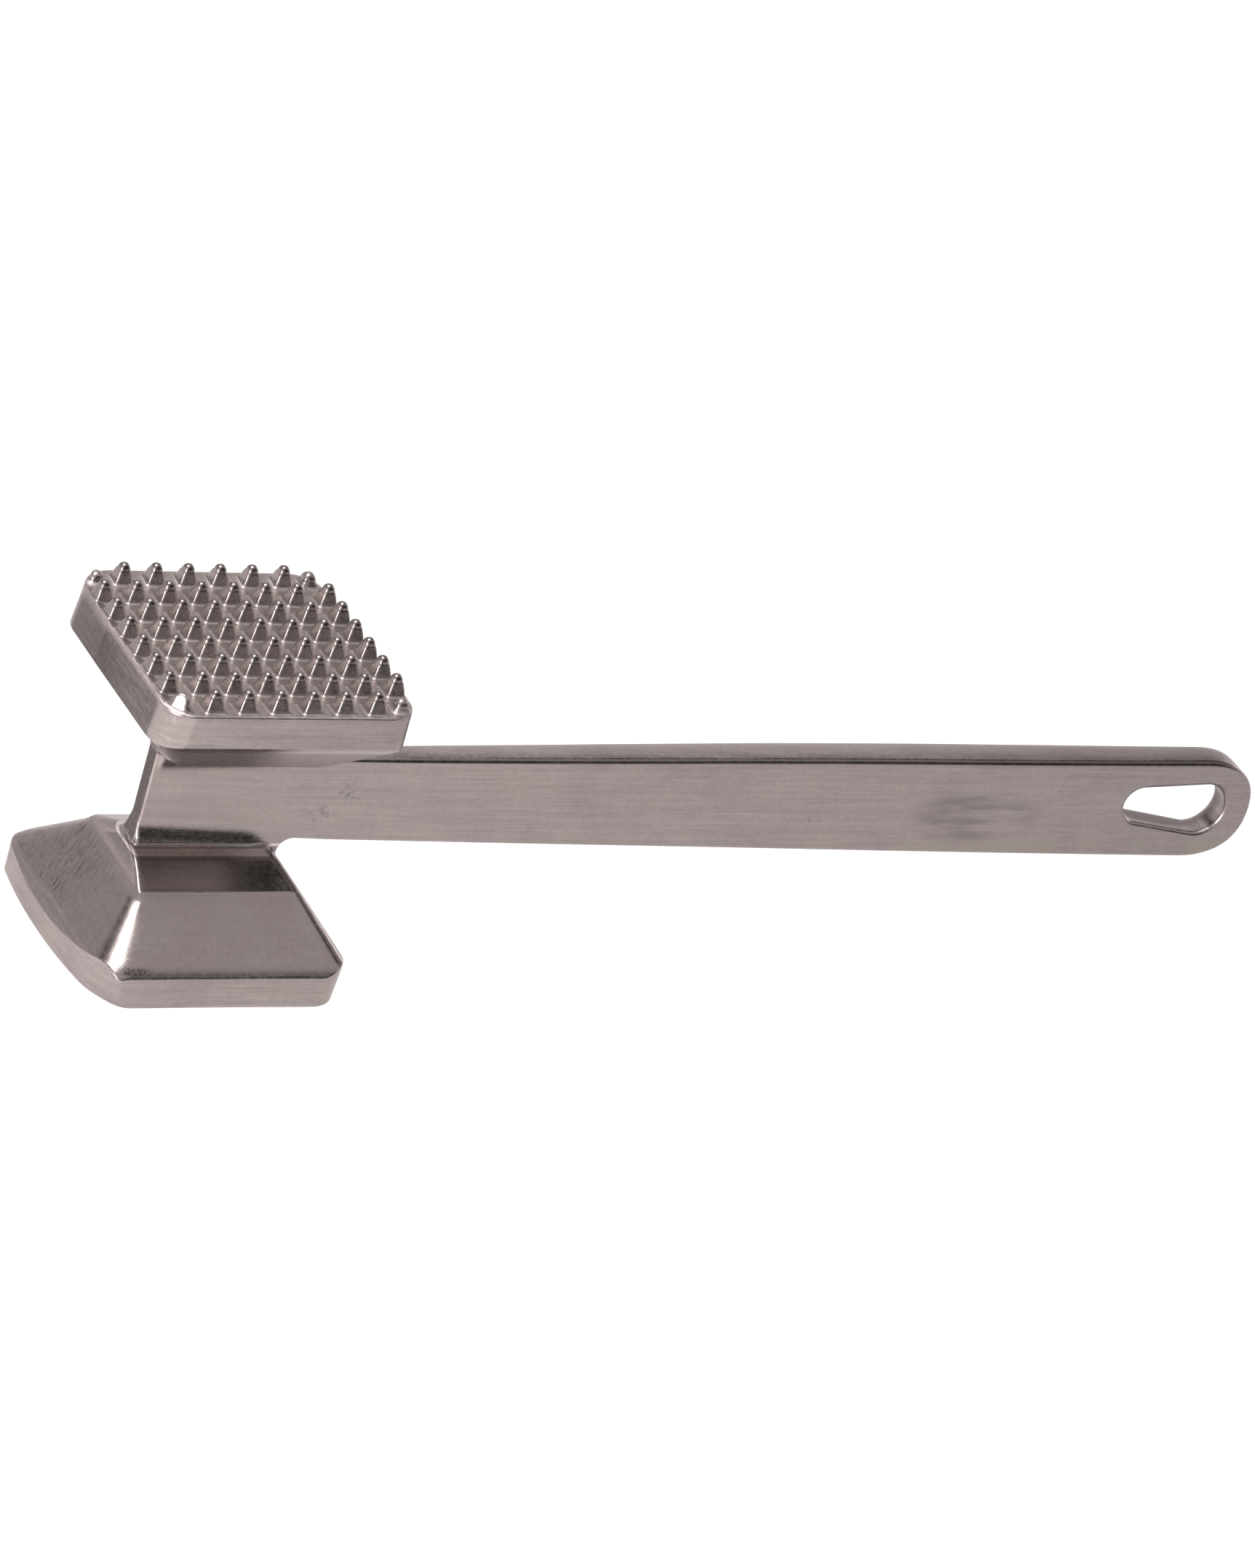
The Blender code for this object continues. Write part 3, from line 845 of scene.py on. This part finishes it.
handle = mesh_piece(
    "handle_bar_body",
    (lines((-20.0, 26.0, FINE), (26.0, 250.0, 1.4), (250.0, 287.2, FINE)),
     lines((-9.0, -5.6, 0.5), (-5.6, 5.6, 0.33), (5.6, 9.0, 0.5)),
     lines((22.8, below(LOWER_WEB_CUT), 0.3), layer(LOWER_WEB_CUT),
           (above(LOWER_WEB_CUT), 31.0, 0.33), (31.0, 47.0, 0.7),
           (47.0, below(UPPER_WEB_CUT), 0.33), layer(UPPER_WEB_CUT),
           (above(UPPER_WEB_CUT), 53.2, 0.3))),
    grip_mat, bottom=LOWER_WEB_CUT, top=UPPER_WEB_CUT, cut_reach=60.0)

for obj, node in ((smooth_plate, "smooth_face_plate"),
                  (lower_flare, "lower_head_flare"),
                  (upper_flare, "upper_head_flare"),
                  (stud_plate, "studded_face_plate"),
                  (handle, "handle_bar")):
    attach(obj, "root")
    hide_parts(node)


# ---------------------------------------------------------------------- stage
def floor_glow(n):
    """Glow of the floor as the metal sees it, by place in millimetres."""
    place = n.place(scale=(1000.0, 1000.0, 0.0))
    glow = n.ramp(n.split(place)[0], over=(0.0, 340.0), to=(0.86, 0.63), kind="LINEAR")
    # brighter beyond the near toe corner
    corner = n.ramp(n.dot(place, (-0.90, -0.43, 0.0)), over=(25.0, 60.0), to=(0.0, 0.40))
    reach = n.ramp(n.length(place), over=(260.0, 400.0), to=(1.0, 0.0))
    glow = n.math("ADD", glow, n.product(corner, reach))
    # a dark lane running out from the far toe corner
    along = n.dot(place, (-0.663, 0.749, 0.0))
    across = n.math("ABSOLUTE", n.dot(place, (0.749, 0.663, 0.0)))
    lane = n.product(n.ramp(across, over=(0.0, 85.0), to=(0.80, 0.0)),
                     n.zone((along, 45.0, 80.0), (along, 620.0, 470.0)))
    return n.product(glow, n.math("SUBTRACT", 1.0, lane))


def paper():
    """White to the camera, dimmer to the metal, and clear from below so that
    the striking face shows."""
    material = bpy.data.materials.new("paper")
    n = Nodes(material)
    diffuse = n.add("ShaderNodeBsdfDiffuse")
    diffuse.inputs["Color"].default_value = (0.06, 0.06, 0.06, 1)
    glow = n.add("ShaderNodeEmission")
    camera_ray = n.add("ShaderNodeLightPath").outputs["Is Camera Ray"]
    n.put(glow.inputs["Strength"],
          n.ramp(camera_ray, over=(0.0, 1.0), to=(floor_glow(n), 1.0), kind="LINEAR"))
    n.put(glow.inputs["Color"], n.mix(camera_ray, LIGHT, (1.0, 1.0, 1.0, 1.0)))
    both = n.add("ShaderNodeAddShader")
    n.put(both.inputs[0], diffuse.outputs[0])
    n.put(both.inputs[1], glow.outputs[0])
    pick = n.add("ShaderNodeMixShader")
    n.put(pick.inputs[0], n.add("ShaderNodeNewGeometry").outputs["Backfacing"])
    n.put(pick.inputs[1], both.outputs[0])
    n.put(pick.inputs[2], n.add("ShaderNodeBsdfTransparent").outputs[0])
    n.put(n.add("ShaderNodeOutputMaterial").inputs["Surface"], pick.outputs[0])
    return material


mesh = bpy.data.meshes.new("floor")
mesh.from_pydata([(-5, -4, 0), (5, -4, 0), (5, 6, 0), (-5, 6, 0)], [], [(0, 1, 2, 3)])
floor = bpy.data.objects.new("floor", mesh)
bpy.context.scene.collection.objects.link(floor)
mesh.materials.append(paper())

# Soft blobs of the studio by direction: direction, inner and outer angle in
# degrees, level
AMBIENT, DARKEST = 0.62, 0.03
LIGHT_BLOBS = (
    ((-0.199, 0.124, 0.952), 9, 24, 9.0),     # overhead strip
    ((-0.81, -0.54, 0.21), 7, 18, 12.0),      # soft box, near toe side
    ((0.88, 0.42, 0.22), 5, 14, 2.0),         # kicker, far heel side
    ((0.479, 0.81, 0.34), 8, 30, 0.14))       # faint fill, far side
DARK_BLOBS = (
    ((0.479, -0.83, 0.25), 13, 32, 1.0),
    ((-0.55, 0.59, 0.59), 5, 14, 1.0),
    ((0.80, 0.06, 0.60), 4, 13, 1.0),
    ((0.49, 0.13, 0.86), 4, 15, 0.75),
    ((0.479, 0.26, 0.84), 8, 27, 0.42))
DARK_COLOUR = (0.93, 1.0, 0.86, 1.0)

world = bpy.data.worlds.new("studio")
bpy.context.scene.world = world
n = Nodes(world)
ray = n.vmath("NORMALIZE", n.add("ShaderNodeTexCoord").outputs["Generated"])


def blob(direction, inner, outer, level):
    facing = n.dot(ray, tuple(Vector(direction).normalized()))
    return n.ramp(facing, over=(math.cos(math.radians(outer)),
                                math.cos(math.radians(inner))), to=(0.0, level))


total = n.math("ADD", AMBIENT, 0.0)
for row in LIGHT_BLOBS:
    total = n.math("ADD", total, blob(*row))
dark = blob(*DARK_BLOBS[0])
for row in DARK_BLOBS[1:]:
    dark = n.math("ADD", dark, blob(*row))
total = n.product(total, n.math("SUBTRACT", 1.0, dark, clamp=True))
back = n.add("ShaderNodeBackground")
n.put(back.inputs["Strength"], n.math("MAXIMUM", total, DARKEST))
n.put(back.inputs["Color"], n.mix(n.math("MINIMUM", dark, 1.0), LIGHT, DARK_COLOUR))
n.put(n.add("ShaderNodeOutputWorld").inputs["Surface"], back.outputs[0])

lamp = bpy.data.lights.new("overhead", "AREA")
lamp.shape = "SQUARE"
lamp.size = 1.2
lamp.energy = 6.0
top_light = bpy.data.objects.new("overhead", lamp)
top_light.location = (0.0, 0.2, 1.6)
bpy.context.scene.collection.objects.link(top_light)

# --------------------------------------------------------------------- camera
CAMERA_PLACE = (-0.8076176, -1.4390825, 0.9121765)
# the camera's own axes in the scene
RIGHT = Vector((0.877669085, -0.406844667, 0.253326653))
UP = Vector((-0.005437430, 0.520084131, 0.854097729))
AHEAD = Vector((0.479236279, 0.750992619, -0.454249574))

cam_data = bpy.data.cameras.new("camera")
cam_data.sensor_width = 36.0
cam_data.lens = 183.673469
cam_data.clip_end = 20.0
camera = bpy.data.objects.new("camera", cam_data)
turn = Matrix((RIGHT, UP, -AHEAD)).transposed()
camera.matrix_world = Matrix.Translation(CAMERA_PLACE) @ turn.to_4x4()
bpy.context.scene.collection.objects.link(camera)
bpy.context.scene.camera = camera
bpy.context.scene.view_settings.view_transform = "Standard"
bpy.context.scene.view_settings.look = "None"
